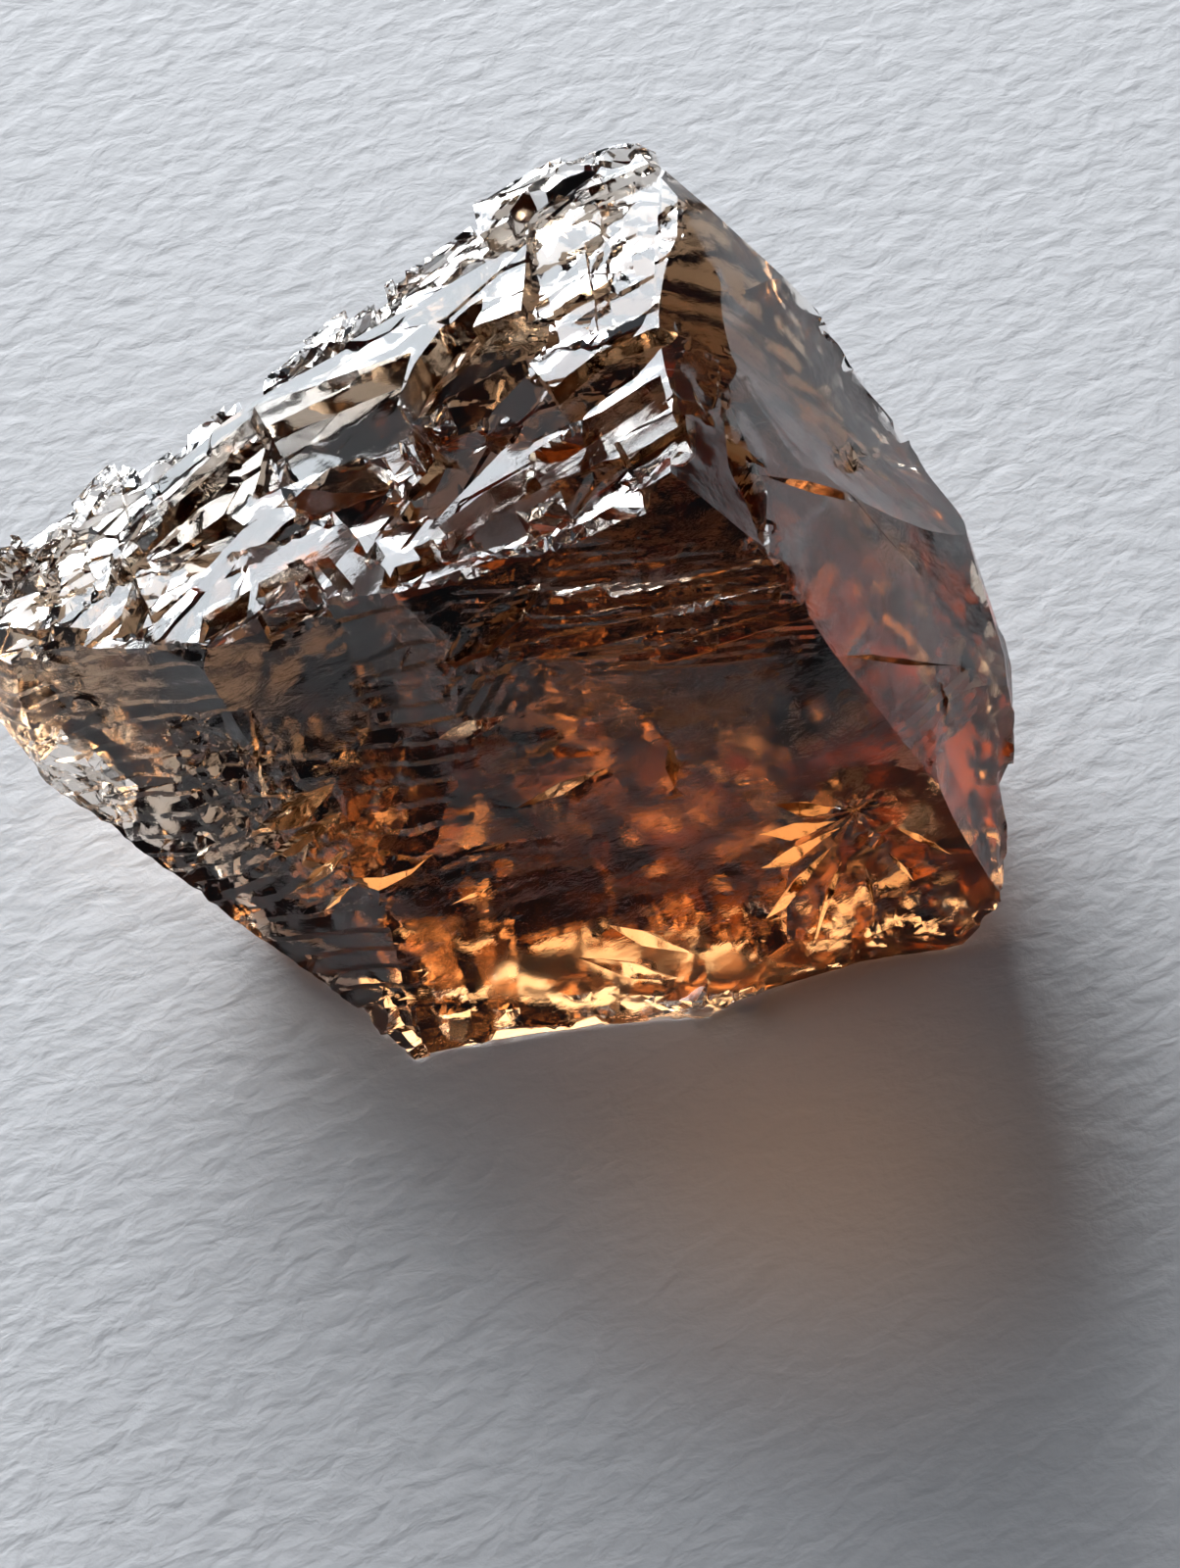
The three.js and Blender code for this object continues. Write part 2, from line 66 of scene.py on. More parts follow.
# ---------------------------------------------------------------- mesh tools
# A mesh is an array of points, one row each with its place in mm and the columns named above, and an
# array of triangles. Where an edge is split, every column is shared out along it.
WELD_STEP = 0.002  # mm
FLAT_DEGREES = 3  # triangles that meet at less than this lie on one level
MOST_HALVINGS = 8
FAR = 10.0  # mm; stands for any distance that isn't worked out
TINY = 1e-12  # keeps a division from being by zero


def arrays(mesh):
    """The places of a Blender mesh's corners, in mm, and its triangles."""
    mesh.calc_loop_triangles()
    places = np.empty(len(mesh.vertices) * 3)
    mesh.vertices.foreach_get("co", places)
    tris = np.empty(len(mesh.loop_triangles) * 3, np.int64)
    mesh.loop_triangles.foreach_get("vertices", tris)
    return places.reshape(-1, 3) / MM, tris.reshape(-1, 3)


def weld(points, tris):
    """Joins corners that lie within a step of each other."""
    keys = np.round(points / WELD_STEP).astype(np.int64)
    _, first, index = np.unique(keys, axis=0, return_index=True, return_inverse=True)
    tris = index.reshape(-1)[tris]
    good = (tris[:, 0] != tris[:, 1]) & (tris[:, 1] != tris[:, 2]) & (tris[:, 2] != tris[:, 0])
    return points[first], tris[good]


def edges_of(tris):
    """Unique edges, and for each triangle the numbers of its three edges (01, 12, 20)."""
    pairs = np.sort(np.stack([tris, np.roll(tris, -1, axis=1)], axis=2).reshape(-1, 2), axis=1)
    base = tris.max() + 1
    keys, index = np.unique(pairs[:, 0] * base + pairs[:, 1], return_inverse=True)
    return np.stack([keys // base, keys % base], 1), index.reshape(-1, 3)


def split(points, tris, edges, of_tri, marked, share):
    """Splits the marked edges, each at its share of the way along, and keeps the surface closed."""
    middle = np.full(len(edges), -1)
    middle[marked] = len(points) + np.arange(marked.sum())
    start, end = points[edges[marked, 0]], points[edges[marked, 1]]
    points = np.vstack([points, start + (end - start) * share[marked, None]])
    count = marked[of_tri].sum(axis=1)
    out = [tris[count == 0]]
    for wanted in (1, 2, 3):  # each triangle is turned so that its marked edges come first
        some = count == wanted
        t, m = tris[some], middle[of_tri[some]]
        if wanted == 1:
            turn = np.argmax(m >= 0, axis=1)
        elif wanted == 2:
            turn = (np.argmax(m < 0, axis=1) + 1) % 3
        else:
            turn = np.zeros(len(t), int)
        order = (turn[:, None] + np.arange(3)) % 3
        a, b, c = np.take_along_axis(t, order, 1).T
        ab, bc, ca = np.take_along_axis(m, order, 1).T
        if wanted == 1:
            out += [np.stack([a, ab, c], 1), np.stack([ab, b, c], 1)]
        elif wanted == 2:  # the four-sided rest is cut along its shorter diagonal
            one = np.linalg.norm(points[ab, :3] - points[c, :3], axis=1)
            two = np.linalg.norm(points[a, :3] - points[bc, :3], axis=1)
            near = one < two
            out.append(np.stack([ab, b, bc], 1))
            out += [np.stack([ab, bc, c], 1)[near], np.stack([a, ab, c], 1)[near]]
            out += [np.stack([a, ab, bc], 1)[~near], np.stack([a, bc, c], 1)[~near]]
        else:
            out += [np.stack([a, ab, ca], 1), np.stack([ab, b, bc], 1)]
            out += [np.stack([ca, bc, c], 1), np.stack([ab, bc, ca], 1)]
    return points, np.vstack(out)


def split_long(points, tris, longest, weight_of=None):
    """Halves the edges longer than the limit, where the weight is over zero."""
    for _ in range(MOST_HALVINGS):
        edges, of_tri = edges_of(tris)
        marked = np.linalg.norm(points[edges[:, 0], :3] - points[edges[:, 1], :3], axis=1) > longest
        if weight_of:
            marked &= (weight_of(points)[edges] > 0).any(axis=1)
        if not marked.any():
            break
        points, tris = split(points, tris, edges, of_tri, marked, np.full(len(edges), 0.5))
    return points, tris


def solid_mesh(name, places, tris):
    """A Blender mesh of triangles, from places in metres."""
    mesh = bpy.data.meshes.new(name)
    mesh.from_pydata(places.tolist(), [], tris.tolist())
    return mesh


def flip_flat(places, tris):
    """Turns edges between nearly level triangles so that the triangles are less thin."""
    mesh = solid_mesh("flipped", places * MM, tris)
    solid = bmesh.new()
    solid.from_mesh(mesh)
    solid.normal_update()
    flat = [edge for edge in solid.edges if edge.calc_face_angle(1) < math.radians(FLAT_DEGREES)]
    bmesh.ops.beautify_fill(solid, faces=solid.faces, edges=flat, method="AREA")
    solid.to_mesh(mesh)
    solid.free()
    places, tris = arrays(mesh)
    bpy.data.meshes.remove(mesh)
    return places, tris


def face_normals(points, tris):
    """The unit normal and the area of each triangle."""
    a, b, c = (points[tris[:, i], :3] for i in range(3))
    normal = np.cross(b - a, c - a)
    area = np.linalg.norm(normal, axis=1)
    return normal / np.maximum(area, TINY)[:, None], area / 2


def sharp_edges(points, tris, degrees):
    """Edges whose two faces meet at more than the angle, as pairs of corners."""
    edges, of_tri = edges_of(tris)
    normal, _ = face_normals(points, tris)
    owner = np.repeat(np.arange(len(tris)), 3)
    order = np.argsort(of_tri.reshape(-1), kind="stable")
    first = np.searchsorted(of_tri.reshape(-1)[order], np.arange(len(edges)))
    one, two = owner[order[first]], owner[order[first + 1]]
    return edges[(normal[one] * normal[two]).sum(1) < math.cos(math.radians(degrees))]


def corner_normals(points, tris):
    """The unit normal at each point, from the triangles around it."""
    normal, area = face_normals(points, tris)
    total = np.zeros((len(points), 3))
    for i in range(3):
        np.add.at(total, tris[:, i], normal * area[:, None])
    return total / np.maximum(np.linalg.norm(total, axis=1), TINY)[:, None]


def mean_of_neighbours(values, edges):
    total = np.zeros_like(values)
    for axis in range(values.shape[1]):
        total[:, axis] += np.bincount(edges[:, 0], values[edges[:, 1], axis], len(values))
        total[:, axis] += np.bincount(edges[:, 1], values[edges[:, 0], axis], len(values))
    return total / np.bincount(edges.reshape(-1), minlength=len(values))[:, None]


def relax(points, tris, fixed, rounds, share=0.5):
    """Evens out the facets of a curved break. Corners that are fixed stay."""
    edges, _ = edges_of(tris)
    for _ in range(rounds):
        step = (mean_of_neighbours(points, edges) - points) * share
        points = points + step * ~fixed[:, None]
    return points


def reach(points, tris, start):
    """How far each point is from the start points along one edge or two. The others are far away."""
    edges, _ = edges_of(tris)
    length = np.linalg.norm(points[edges[:, 0], :3] - points[edges[:, 1], :3], axis=1)
    away = np.where(start, 0.0, FAR)
    np.minimum.at(away, edges[:, 0], away[edges[:, 1]] + length)
    np.minimum.at(away, edges[:, 1], away[edges[:, 0]] + length)
    return away


# ---------------------------------------------------------------- places and noise
def ramp(values, low, high):
    """0 below low, 1 above high, and smooth in between."""
    share = np.clip((values - low) / (high - low), 0, 1)
    return share * share * (3 - 2 * share)


def unit(vector):
    vector = np.array(vector, float)
    return vector / np.linalg.norm(vector)


def axes_of(face):
    """Along, across and out of a face, as rows."""
    up, along = FACES[face]
    z = unit(up)
    y = unit(np.cross(z, along))
    return np.stack([np.cross(y, z), y, z])


def on_face(points, face, centre=(0, 0, 0), turn=0.0):
    """Coordinates along and across a face from the centre, turned in the face by degrees."""
    local = (points[:, :3] - np.array(centre)) @ axes_of(face).T
    a = math.radians(turn)
    along = local[:, 0] * math.cos(a) + local[:, 1] * math.sin(a)
    across = local[:, 1] * math.cos(a) - local[:, 0] * math.sin(a)
    return np.stack([along, across], 1)


NOISE_GRID = 64  # lumps each way before the noise repeats


def noise(places, size, seed):
    """Smooth noise from -1 to 1 with lumps of the size."""
    grid = np.random.default_rng(seed).uniform(-1, 1, (NOISE_GRID,) * 3)
    scaled = places[:, :3] / size
    low = np.floor(scaled).astype(int)
    part = scaled - low
    part = part * part * (3 - 2 * part)
    total = np.zeros(len(places))
    for corner in np.ndindex(2, 2, 2):
        index = tuple(((low + corner) % NOISE_GRID).T)
        total += grid[index] * np.prod(np.where(corner, part, 1 - part), axis=1)
    return total


# ---------------------------------------------------------------- weights
# A weight gives each point a number from 0 to 1: how much of a relief it takes.
RAGGED = 0.35  # how far a patch's rim wanders, as a share of the patch
RAGGED_LUMPS = 0.5
RAGGED_SEED = 5
PATCH_INNER, PATCH_OUTER = 0.75, 1.1  # shares of the oval where the weight starts to fall and where it ends
NEAR_SHARE, NEAR_EXTRA = 0.75, 0.5  # no point farther from the centre than these allow is in a patch


def region(face):
    return lambda points: points[:, REGIONS[face]]


def patch(face, centre, size, turn=0.0):
    """A weight of 1 inside an oval of the face, 0 outside, with a ragged rim."""
    def weight(points):
        away = np.linalg.norm(points[:, :3] - np.array(centre), axis=1)
        near = (away < max(size) * NEAR_SHARE + NEAR_EXTRA) & (points[:, REGIONS[face]] > 0)
        values = np.zeros(len(points))
        place = on_face(points[near], face, centre, turn) / (np.array(size) / 2)
        out = np.linalg.norm(place, axis=1) + RAGGED * noise(points[near], RAGGED_LUMPS, RAGGED_SEED)
        values[near] = ramp(-out, -PATCH_OUTER, -PATCH_INNER) * points[near, REGIONS[face]]
        return values
    return weight


def patchy(face, lumps, seed, low, high):
    """A weight that comes and goes over a face: 0 where noise is under low, 1 where it is over high."""
    def weight(points):
        values = points[:, REGIONS[face]].copy()
        live = values > 0
        values[live] *= ramp(noise(points[live], lumps, seed), low, high)
        return values
    return weight


def where_left(face, start, end):
    """A weight that grows towards the thin end, between two places along X."""
    return lambda points: points[:, REGIONS[face]] * ramp(-points[:, 0], -start, -end)


# ---------------------------------------------------------------- plates
MOSAIC_GRID = 256  # cells each way before the mosaic repeats
STEEP_SHARE = 0.22  # some plates tip more than the others
STEEP = 3.0
BORDER_CUTS = 3  # how many times the edges that cross a border are cut on it
ON_BORDER = 1e-3  # a point closer to a border than this is on it
CUT_SHARES = (0.02, 0.98)  # a cut keeps clear of both ends of an edge
RIM_CLEARANCE = 0.15  # an edge that ends this close to the rim's line, in rims, isn't cut on it
PLATE_SEEDS = 1000  # a plate's depth and tilt are drawn with the mosaic's seed plus this


def mosaic(uv, seed):
    """Cells of a jittered unit grid. Gives each point's own cell, the cell across its nearest border,
    how far that border is, and the two cells' sites."""
    jitter = np.random.default_rng(seed).random((MOSAIC_GRID, MOSAIC_GRID, 2))
    offsets = np.stack(np.meshgrid(*[np.arange(-2, 3)] * 2), -1).reshape(-1, 1, 2)
    cells = np.floor(uv).astype(int)[None] + offsets
    cells_in = cells % MOSAIC_GRID
    sites = cells + jitter[cells_in[..., 0], cells_in[..., 1]]
    away = ((sites - uv) ** 2).sum(-1)
    every = np.arange(len(uv))
    own = away.argmin(0)
    apart = np.linalg.norm(sites - sites[own, every], axis=-1)
    border = np.where(apart > 0, (away - away[own, every]) / (2 * np.maximum(apart, TINY)), np.inf)
    other = border.argmin(0)
    names = cells_in[..., 0] * MOSAIC_GRID + cells_in[..., 1]
    return {
        "own": names[own, every],
        "other": names[other, every],
        "border": border[other, every],
        "own_site": sites[own, every],
        "other_site": sites[other, every],
    }


def sink(points, face, depth):
    """Moves points into the crystal, square to a face."""
    points[:, :3] -= axes_of(face)[2] * depth[:, None]


def squared_gap(places, sites):
    return ((places - sites) ** 2).sum(1)


def cut_on_borders(points, tris, place_of, cells_of):
    """Cuts the edges that cross from one cell to another where they cross the border."""
    for _ in range(BORDER_CUTS):
        at, live = cells_of(points)
        edges, of_tri = edges_of(tris)
        a, b = edges.T
        marked = (at["own"][a] != at["own"][b]) & live[a] & live[b]
        marked &= (at["border"][a] > ON_BORDER) & (at["border"][b] > ON_BORDER)
        if not marked.any():
            break
        uv = place_of(points)
        one, two = at["own_site"][a], at["own_site"][b]
        start = squared_gap(uv[a], two) - squared_gap(uv[a], one)
        end = squared_gap(uv[b], two) - squared_gap(uv[b], one)
        share = np.clip(start / np.where(marked, start - end, 1), *CUT_SHARES)
        points, tris = split(points, tris, edges, of_tri, marked, share)
    return points, tris


def cut_beside_borders(points, tris, cells_of, rim):
    """Cuts edges at the rim's width from the borders, so that the plates stay flat inside it."""
    at, live = cells_of(points)
    edges, of_tri = edges_of(tris)
    start, end = at["border"][edges].T
    marked = ((start - rim) * (end - rim) < 0) & live[edges].all(axis=1)
    marked &= (abs(start - rim) > RIM_CLEARANCE * rim) & (abs(end - rim) > RIM_CLEARANCE * rim)
    share = np.clip((start - rim) / np.where(marked, start - end, 1), *CUT_SHARES)
    return split(points, tris, edges, of_tri, marked, share)


def plates(points, tris, face, weight_of, size, turn, step, tilt, seed, rim=0.06, longest=0.35):
    """Breaks a face up into flat plates at different heights, each tipped a little. size is a plate's
    length and width, step the most that it sinks, tilt how far it tips, in degrees, and rim the width
    of the slope between two plates."""
    points, tris = split_long(points, tris, longest, weight_of)
    size = np.array(size)
    rim = rim / size.min()

    def place_of(rows):
        return on_face(rows, face, turn=turn) / size

    def cells_of(rows):
        live = weight_of(rows) > 0
        found = {}
        for name, values in mosaic(place_of(rows[live]), seed).items():
            found[name] = np.zeros((len(rows), *values.shape[1:]), values.dtype)
            found[name][live] = values
        return found, live

    points, tris = cut_on_borders(points, tris, place_of, cells_of)
    points, tris = cut_beside_borders(points, tris, cells_of, rim)
    at, _ = cells_of(points)
    uv = place_of(points)
    random = np.random.default_rng(seed + PLATE_SEEDS)
    sunk = random.random(MOSAIC_GRID**2) * step
    slope = np.tan(np.radians(tilt)) * random.normal(size=(MOSAIC_GRID**2, 2))
    slope[random.random(MOSAIC_GRID**2) < STEEP_SHARE] *= STEEP
    own = sunk[at["own"]] + (slope[at["own"]] * (uv - at["own_site"]) * size).sum(1)
    other = sunk[at["other"]] + (slope[at["other"]] * (uv - at["other_site"]) * size).sum(1)
    mine = 0.5 + 0.5 * np.clip(at["border"] / rim, 0, 1)
    sink(points, face, (mine * own + (1 - mine) * other) * weight_of(points))
    return points, tris


# ---------------------------------------------------------------- ridges
MOST_LINE_CUTS = 12
LINE_CLEARANCE = 0.08  # a line this close to an end of an edge doesn't cut it, in phase
LINES = 4096  # ridges that differ in height before the heights repeat
WANDER_LUMPS = 1.5  # mm; the size of the bends in ridges that wander
FAN_LUMPS = 1.0
WANDER_SEED = 3
SHORT_SIDE = 0.22  # share of a lopsided ridge's width that its short side takes


def cut_on_lines(points, tris, phases_of):
    """Cuts edges where the phase passes a whole number."""
    for _ in range(MOST_LINE_CUTS):
        phase, live = phases_of(points)
        edges, of_tri = edges_of(tris)
        start, end = phase[edges].T
        low, high = np.minimum(start, end) + LINE_CLEARANCE, np.maximum(start, end) - LINE_CLEARANCE
        whole = np.round((start + end) / 2)
        whole = np.where((whole > low) & (whole < high), whole, np.ceil(low))
        marked = (whole < high) & live[edges].all(axis=1)
        if not marked.any():
            break
        share = (whole - start) / np.where(marked, end - start, 1)
        points, tris = split(points, tris, edges, of_tri, marked, share)
    return points, tris


def ridges(points, tris, face, phase_of, weight_of, height, seed, longest=0.5, sharp=0.5):
    """Cuts grooves along the lines where a phase passes whole numbers. Odd lines are crests, even
    lines are grooves, and their heights vary by the share sharp."""
    points, tris = split_long(points, tris, longest, weight_of)

    def phases_of(rows):
        live = weight_of(rows) > 0
        found = np.zeros(len(rows))
        found[live] = phase_of(rows[live])
        return found, live

    points, tris = cut_on_lines(points, tris, phases_of)
    phase, _ = phases_of(points)
    line = np.floor(phase).astype(int)
    random = np.random.default_rng(seed).random(LINES)

    def depth(lines):
        varied = sharp * random[lines % LINES]
        return height * np.where(lines % 2 == 0, 1 - varied, varied)

    part = phase - line
    sink(points, face, ((1 - part) * depth(line) + part * depth(line + 1)) * weight_of(points))
    return points, tris


def lines_across(face, pitch, turn, wander):
    """A phase that grows across a face, for parallel ridges that wander."""
    def phase(points):
        across = on_face(points, face, turn=turn)[:, 1]
        return (across + wander * noise(points, WANDER_LUMPS, WANDER_SEED)) / pitch
    return phase


def lines_round(face, centre, pitch, wander):
    """A phase that grows away from a centre, for curved ripples."""
    def phase(points):
        away = np.linalg.norm(on_face(points, face, centre), axis=1)
        return (away + wander * noise(points, WANDER_LUMPS, WANDER_SEED)) / pitch
    return phase


def lines_from(face, centre, count, wander):
    """A phase that grows round a centre, for ridges that fan out of it."""
    def phase(points):
        place = on_face(points, face, centre)
        angle = np.arctan2(place[:, 1], place[:, 0]) / math.tau
        return (angle + 1) * count + wander * noise(points, FAN_LUMPS, WANDER_SEED)
    return phase


def lopsided(phase_of):
    """The same ridges, with one side narrow and the other wide."""
    def phase(points):
        whole, part = np.divmod(phase_of(points) / 2, 1)
        long = 1 + (part - SHORT_SIDE) / (1 - SHORT_SIDE)
        return 2 * whole + np.where(part < SHORT_SIDE, part / SHORT_SIDE, long)
    return phase


# ---------------------------------------------------------------- the crystal
EDGE_STEPS = (4, 2, 1, 0.5, 0.4)  # mm; each time the longest edge that is left
SHARP_DEGREES = 20
RELAX_ROUNDS = 20
FACING = 0.86  # a point that looks a face's way by at least this cosine is in the face
TOP_SPREAD = (0.5, 0.9)  # mm past those points, where the face's weight starts to fall and where it ends
SPREAD = (0.0, 0.45)
MOST_TRIANGLES = 190_000


def whole_surface():
    """The crystal's solid, with its curved breaks evened out and its faces told apart."""
    places, tris = weld(*arrays(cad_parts["tanzanite_crystal"].data))
    places = places - AIM
    for longest in EDGE_STEPS:
        places, tris = split_long(places, tris, longest)
        places, tris = flip_flat(places, tris)
    fixed = np.zeros(len(places), bool)
    fixed[sharp_edges(places, tris, SHARP_DEGREES).reshape(-1)] = True
    places = relax(places, tris, fixed, RELAX_ROUNDS)
    points = np.hstack([places, np.zeros((len(places), len(FACES)))])
    facing = corner_normals(places, tris) @ np.stack([axes_of(face)[2] for face in FACES]).T
    for number, (face, column) in enumerate(REGIONS.items()):
        inside = (facing[:, number] > FACING) & (facing.argmax(1) == number)
        spread = TOP_SPREAD if face == "top" else SPREAD
        points[:, column] = 1 - ramp(reach(points, tris, inside), *spread)
    return points, tris


def cleave_top(points, tris):
    """Plates at many heights, a crumbled thin end, and fine streaks."""
    fine = {"rim": 0.03, "longest": 0.45}
    points, tris = plates(
        points, tris, "top", region("top"), size=(3.2, 1.3), turn=20, step=0.09, tilt=1.3, seed=11, **fine
    )
    points, tris = plates(
        points, tris, "top", patchy("top", lumps=2.2, seed=21, low=0.2, high=0.4),
        size=(1.8, 0.75), turn=34, step=0.05, tilt=2.2, seed=12, **fine,
    )
    points, tris = plates(
        points, tris, "top", where_left("top", start=-10.5, end=-13.5),
        size=(1.7, 1.0), turn=10, step=0.12, tilt=3, seed=13, **fine,
    )
    points, tris = ridges(
        points, tris, "top", lines_across("top", pitch=0.12, turn=-76, wander=0.05),
        patch("top", centre=(0.4, 8.0, 12.2), size=(5.5, 2.4), turn=-76), height=0.014, seed=14,
    )
    return ridges(
        points, tris, "top", lines_across("top", pitch=0.14, turn=-72, wander=0.05),
        patch("top", centre=(-7.6, 7.6, 9.0), size=(9.0, 2.6), turn=18), height=0.02, seed=15,
    )


def break_front(points, tris):
    """Fine lines under the top, a fan of ridges, lines beside the V edge, and a swirl."""
    points, tris = ridges(
        points, tris, "front", lines_across("front", pitch=0.13, turn=3, wander=0.12),
        patch("front", centre=(1.5, -3.0, 10.9), size=(10.0, 4.2), turn=-2), height=0.05, seed=16,
    )
    points, tris = ridges(
        points, tris, "front", lines_from("front", centre=(6.9, -4.7, 4.9), count=26, wander=0.3),
        patch("front", centre=(6.4, -5.2, 3.6), size=(6.0, 5.0)), height=0.08, seed=17,
    )
    points, tris = ridges(
        points, tris, "front", lines_across("front", pitch=0.22, turn=6, wander=0.2),
        patch("front", centre=(-2.6, -5.6, 4.4), size=(3.4, 5.4)), height=0.05, seed=18,
    )
    return ridges(
        points, tris, "front", lines_round("front", centre=(-7.5, -2.2, 11.0), pitch=0.26, wander=0.35),
        patch("front", centre=(-4.2, -3.4, 9.2), size=(6.5, 4.2), turn=-12), height=0.08, seed=28,
    )


def break_left(points, tris):
    """Slanted lines, curved ripples, and small cells."""
    points, tris = ridges(
        points, tris, "left", lopsided(lines_across("left", pitch=0.28, turn=24, wander=0.25)),
        region("left"), height=0.1, seed=33, sharp=0.3,
    )
    points, tris = ridges(
        points, tris, "left", lines_round("left", centre=(-12.5, -2.0, 6.5), pitch=0.3, wander=0.15),
        patch("left", centre=(-8.2, -4.6, 4.2), size=(7.0, 6.0)), height=0.14, seed=19,
    )
    return plates(
        points, tris, "left", patch("left", centre=(-9.2, -4.0, 5.2), size=(4.5, 3.4), turn=-20),
        size=(0.55, 0.4), turn=30, step=0.08, tilt=11, seed=24, rim=0.1,
    )


def chip_sides(points, tris):
    """Low plates here and there on the front and the left, and scratches on the thick end."""
    points, tris = plates(
        points, tris, "front", patchy("front", lumps=2.6, seed=25, low=0.05, high=0.3),
        size=(1.8, 0.8), turn=8, step=0.05, tilt=3, seed=22, rim=0.12, longest=0.5,
    )
    points, tris = plates(
        points, tris, "left", patchy("left", lumps=2.0, seed=26, low=0.0, high=0.3),
        size=(1.3, 0.8), turn=50, step=0.08, tilt=5, seed=23, longest=0.5,
    )
    return ridges(
        points, tris, "end", lines_across("end", pitch=0.2, turn=-48, wander=0.12),
        patch("end", centre=(8.9, -2.8, 6.3), size=(4.6, 2.0), turn=-50), height=0.06, seed=20,
    )


def step_hidden_sides(points, tris):
    """Steps on the back, which turn light back into the crystal, and plates on the hidden sides."""
    points, tris = ridges(
        points, tris, "back", lopsided(lines_across("back", pitch=0.8, turn=4, wander=0.3)),
        region("back"), height=0.6, seed=30, longest=0.8, sharp=0.2,
    )
    points, tris = ridges(
        points, tris, "low", lines_across("low", pitch=0.55, turn=4, wander=0.25),
        region("low"), height=0.62, seed=32, longest=0.7, sharp=0.15,
    )
    for number, face in enumerate(("base", "back", "under", "right")):
        points, tris = plates(
            points, tris, face, region(face),
            size=(2.8, 1.7), turn=25 * number, step=0.08, tilt=4, seed=40 + number, rim=0.1, longest=0.8,
        )
    return points, tris


# how rough the crystal is on a clean break, and what its places add to that
CLEAN_ROUGHNESS = 0.03
END_ROUGHNESS = 0.06
FOOT_ROUGHNESS = 0.25
BROKEN_ROUGHNESS = 0.02
# how strong the fine grain is, from 0 to 1
CLEAN_GRAIN = 0.2
BROKEN_GRAIN = 0.3
TOP_GRAIN = -0.1


def inside_cad_box(places):
    """Places in the CAD's frame, in mm, brought back to the CAD solid's box where they pass it."""
    low, high = (np.array(corner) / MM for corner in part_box("tanzanite_crystal"))
    return np.clip(places, low, high)


def store(mesh, name, values):
    """Keeps a value for each point under a name, for the material."""
    mesh.attributes.new(name, "FLOAT", "POINT").data.foreach_set("value", values)


def crystal_object(points, tris):
    mesh = solid_mesh("crystal", inside_cad_box(points[:, :3] + AIM) * MM, tris)
    top, front, left, end = (points[:, REGIONS[face]] for face in ("top", "front", "left", "end"))
    broken = np.maximum(front, left)
    foot = patch("front", centre=(1.2, -7.3, 1.2), size=(9.5, 2.2), turn=-3)(points)
    rough = CLEAN_ROUGHNESS + END_ROUGHNESS * end + FOOT_ROUGHNESS * foot
    store(mesh, "rough", rough + BROKEN_ROUGHNESS * broken)
    store(mesh, "grain", CLEAN_GRAIN + BROKEN_GRAIN * broken + TOP_GRAIN * top)
    crystal = bpy.data.objects.new("crystal", mesh)
    bpy.context.scene.collection.objects.link(crystal)
    if len(tris) > MOST_TRIANGLES:  # level parts need few triangles
        thin = crystal.modifiers.new("thin", "DECIMATE")
        thin.ratio = MOST_TRIANGLES / len(tris)
        mesh = bpy.data.meshes.new_from_object(crystal.evaluated_get(bpy.context.evaluated_depsgraph_get()))
        crystal.modifiers.clear()
        crystal.data = mesh
    places, _ = arrays(mesh)
    mesh.vertices.foreach_set("co", (inside_cad_box(places) * MM).ravel())
    mesh.shade_smooth()
    mesh.set_sharp_from_angle(angle=math.radians(SHARP_DEGREES))
    return crystal


# ---------------------------------------------------------------- materials
def new_material(name):
    """A material, its nodes, its links and its shader."""
    material = bpy.data.materials.new(name)
    material.use_nodes = True
    tree = material.node_tree
    return material, tree.nodes, tree.links, tree.nodes["Principled BSDF"]


def drawn_out_noise(nodes, links, turn, stretch, **settings):
    """Noise that lies in the object, turned by degrees and drawn out along its own X."""
    where = nodes.new("ShaderNodeTexCoord")
    mapping = nodes.new("ShaderNodeMapping")
    mapping.vector_type = "TEXTURE"
    mapping.inputs["Rotation"].default_value = [math.radians(angle) for angle in turn]
    mapping.inputs["Scale"].default_value = (stretch, 1, 1)
    pattern = nodes.new("ShaderNodeTexNoise")
    for name, value in settings.items():
        pattern.inputs[name].default_value = value
    links.new(where.outputs["Object"], mapping.inputs["Vector"])
    links.new(mapping.outputs["Vector"], pattern.inputs["Vector"])
    return pattern.outputs["Fac"]


def add_bump(nodes, links, shader, height, distance, strength=1.0):
    bump = nodes.new("ShaderNodeBump")
    bump.inputs["Strength"].default_value = strength
    bump.inputs["Distance"].default_value = distance
    links.new(height, bump.inputs["Height"])
    links.new(bump.outputs["Normal"], shader.inputs["Normal"])


def stored(nodes, name):
    """The value that is kept on the mesh under the name."""
    attribute = nodes.new("ShaderNodeAttribute")
    attribute.attribute_name = name
    return attribute.outputs["Fac"]


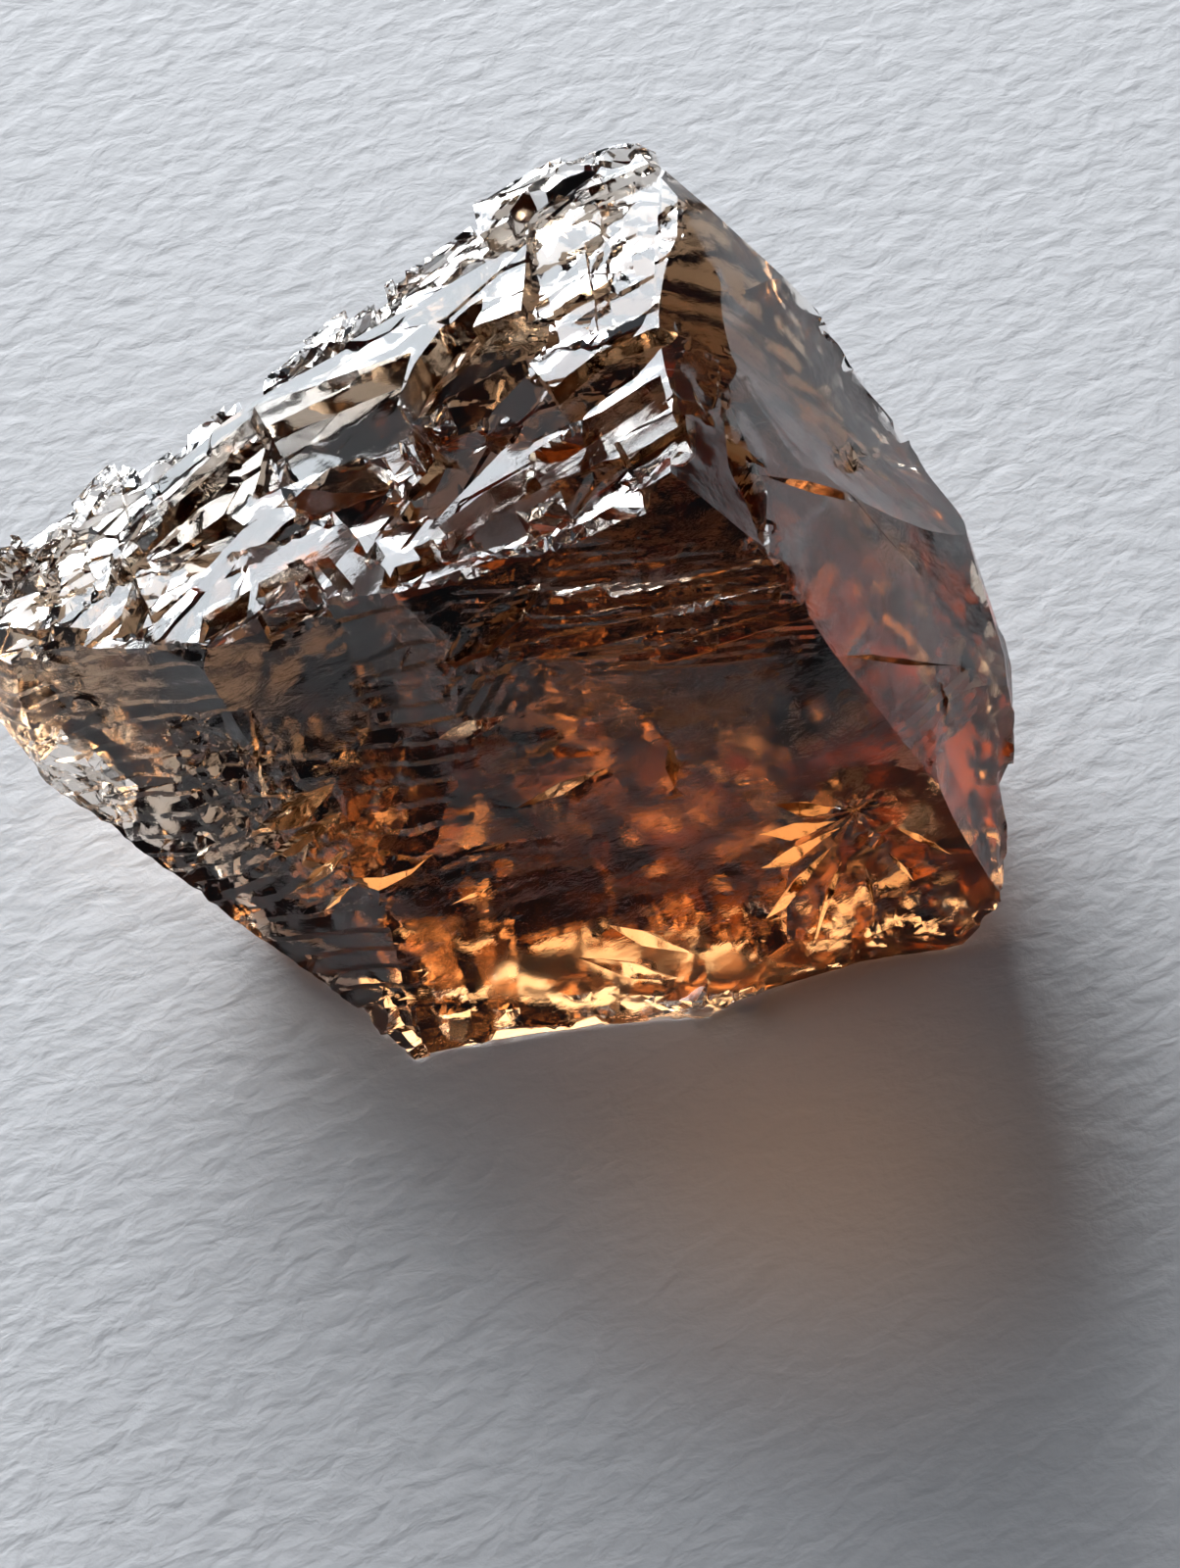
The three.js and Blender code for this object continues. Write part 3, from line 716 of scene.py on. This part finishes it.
def clear_zoisite():
    """Clear brown stone, with grain on its broken faces."""
    material, nodes, links, shader = new_material("clear_zoisite")
    shader.inputs["Base Color"].default_value = (1, 1, 1, 1)
    shader.inputs["Transmission Weight"].default_value = 1
    shader.inputs["IOR"].default_value = 1.69
    shader.inputs["Roughness"].default_value = CLEAN_ROUGHNESS
    links.new(stored(nodes, "rough"), shader.inputs["Roughness"])
    tooth = drawn_out_noise(
        nodes, links, turn=(0, -18, 12), stretch=2.2, Scale=2600, Detail=5, Roughness=0.62, Distortion=0.4
    )
    height = nodes.new("ShaderNodeMath")
    height.operation = "MULTIPLY"
    links.new(tooth, height.inputs[0])
    links.new(stored(nodes, "grain"), height.inputs[1])
    add_bump(nodes, links, shader, height.outputs["Value"], distance=0.06 * MM)
    volume = nodes.new("ShaderNodeVolumeAbsorption")
    volume.inputs["Color"].default_value = (0.62, 0.42, 0.18, 1)
    volume.inputs["Density"].default_value = 450
    links.new(volume.outputs["Volume"], nodes["Material Output"].inputs["Volume"])
    return material


def paper():
    """Pale paper with a fine tooth."""
    material, nodes, links, shader = new_material("pale_floor")
    shader.inputs["Base Color"].default_value = (0.68, 0.68, 0.70, 1)
    shader.inputs["Roughness"].default_value = 0.9
    tooth = drawn_out_noise(nodes, links, turn=(0, 0, 25), stretch=1.5, Scale=1500, Detail=4, Distortion=0.25)
    add_bump(nodes, links, shader, tooth, distance=0.25 * MM, strength=0.3)
    return material


# ---------------------------------------------------------------- the scene
surface = whole_surface()
for relief in (cleave_top, break_front, break_left, chip_sides, step_hidden_sides):
    surface = relief(*surface)
crystal = crystal_object(*surface)
crystal.data.materials.append(clear_zoisite())
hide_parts("tanzanite_crystal")
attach(crystal, "root")

FLOOR_GAP = 0.06 * MM  # keeps the floor and the flat base apart

bpy.ops.mesh.primitive_plane_add(size=0.8, location=(0, 0, -FLOOR_GAP))
floor = bpy.context.object
floor.name = "floor"
floor.data.materials.append(paper())

# ---------------------------------------------------------------- camera and light
ELEVATION = math.radians(52)
DISTANCE = 0.150
SENSOR = 36
FOCAL_PIXELS = 5640
PICTURE_HEIGHT = 1600

camera_data = bpy.data.cameras.new("camera")
camera_data.lens = FOCAL_PIXELS / PICTURE_HEIGHT * SENSOR
camera_data.sensor_width = SENSOR
camera_data.clip_start = 0.005
camera = bpy.data.objects.new("camera", camera_data)
camera.location = Vector(AIM * MM) + Vector((0, -math.cos(ELEVATION), math.sin(ELEVATION))) * DISTANCE
camera.rotation_euler = (math.radians(90) - ELEVATION, 0, 0)
bpy.context.scene.collection.objects.link(camera)
bpy.context.scene.camera = camera


def panel(name, size, radiance, color=(1, 1, 1)):
    """A rectangular light that shines along its own -Z and looks as bright as the radiance."""
    light = bpy.data.lights.new(name, "AREA")
    light.shape = "RECTANGLE"
    light.size, light.size_y = size
    light.energy = radiance * math.pi * light.size * light.size_y
    light.color = color
    holder = bpy.data.objects.new(name, light)
    bpy.context.scene.collection.objects.link(holder)
    return holder


def softbox(name, azimuth, elevation, distance, spread, **look):
    """A panel that faces the crystal. Azimuth is from +Y, clockwise from above, and spread is how wide
    and how high it looks from the crystal, in degrees."""
    size = [2 * distance * math.tan(math.radians(angle / 2)) for angle in spread]
    holder = panel(name, size, **look)
    a, e = math.radians(azimuth), math.radians(elevation)
    away = Vector((math.sin(a) * math.cos(e), math.cos(a) * math.cos(e), math.sin(e)))
    holder.location = away * distance
    holder.rotation_euler = away.to_track_quat("Z", "Y").to_euler()
    return holder


def only_through_the_crystal(holder):
    holder.visible_diffuse = False
    holder.visible_glossy = False


PALE_BLUE = (0.88, 0.94, 1)

softbox(
    "window", azimuth=-25, elevation=15.5, distance=0.60, spread=(42, 15),
    radiance=34, color=(0.95, 0.98, 1),
)
softbox(
    "window_glow", azimuth=-36, elevation=30.5, distance=0.62, spread=(36, 15),
    radiance=8, color=PALE_BLUE,
)
softbox(
    "high_card", azimuth=-62, elevation=50, distance=0.60, spread=(50, 36),
    radiance=0.5, color=(0.9, 0.95, 1),
)
side_card = softbox(
    "side_card", azimuth=52, elevation=8, distance=0.12, spread=(40, 24),
    radiance=0.8, color=PALE_BLUE,
)
side_card.visible_transmission = False
inner_glow = softbox(
    "inner_glow", azimuth=-52, elevation=48, distance=0.60, spread=(50, 60),
    radiance=18,
)
only_through_the_crystal(inner_glow)

# this panel stands in for the light that gathers on the paper under the front edge
foot_glow = panel("foot_glow", (16 * MM, 4 * MM), radiance=2.4, color=(1, 0.55, 0.24))
foot_glow.location = Vector(AIM * MM) + Vector((2.4, -5.4, -0.03)) * MM
foot_glow.rotation_euler = (math.pi, 0, math.radians(12))
only_through_the_crystal(foot_glow)

# a warm spot stands in for the light that the crystal throws into its own shadow
spot = bpy.data.lights.new("warm_spot", "SPOT")
spot.energy = 0.019
spot.color = (1, 0.43, 0.06)
spot.spot_size = math.radians(14)
spot.spot_blend = 1
spot.shadow_soft_size = 4 * MM
warm = bpy.data.objects.new("warm_spot", spot)
warm.location = Vector(AIM * MM) + Vector((5.6, -13.2, 60)) * MM
bpy.context.scene.collection.objects.link(warm)
warm.visible_glossy = False
warm.visible_transmission = False

world = bpy.data.worlds.new("room")
world.use_nodes = True
background = world.node_tree.nodes["Background"]
background.inputs["Color"].default_value = (0.85, 0.9, 1, 1)
background.inputs["Strength"].default_value = 0.05
bpy.context.scene.world = world
bpy.context.scene.view_settings.view_transform = "Standard"

# light goes to and fro many times inside a clear crystal before it comes out
paths = bpy.context.scene.cycles
paths.max_bounces = 32
paths.glossy_bounces = 24
paths.transmission_bounces = 24
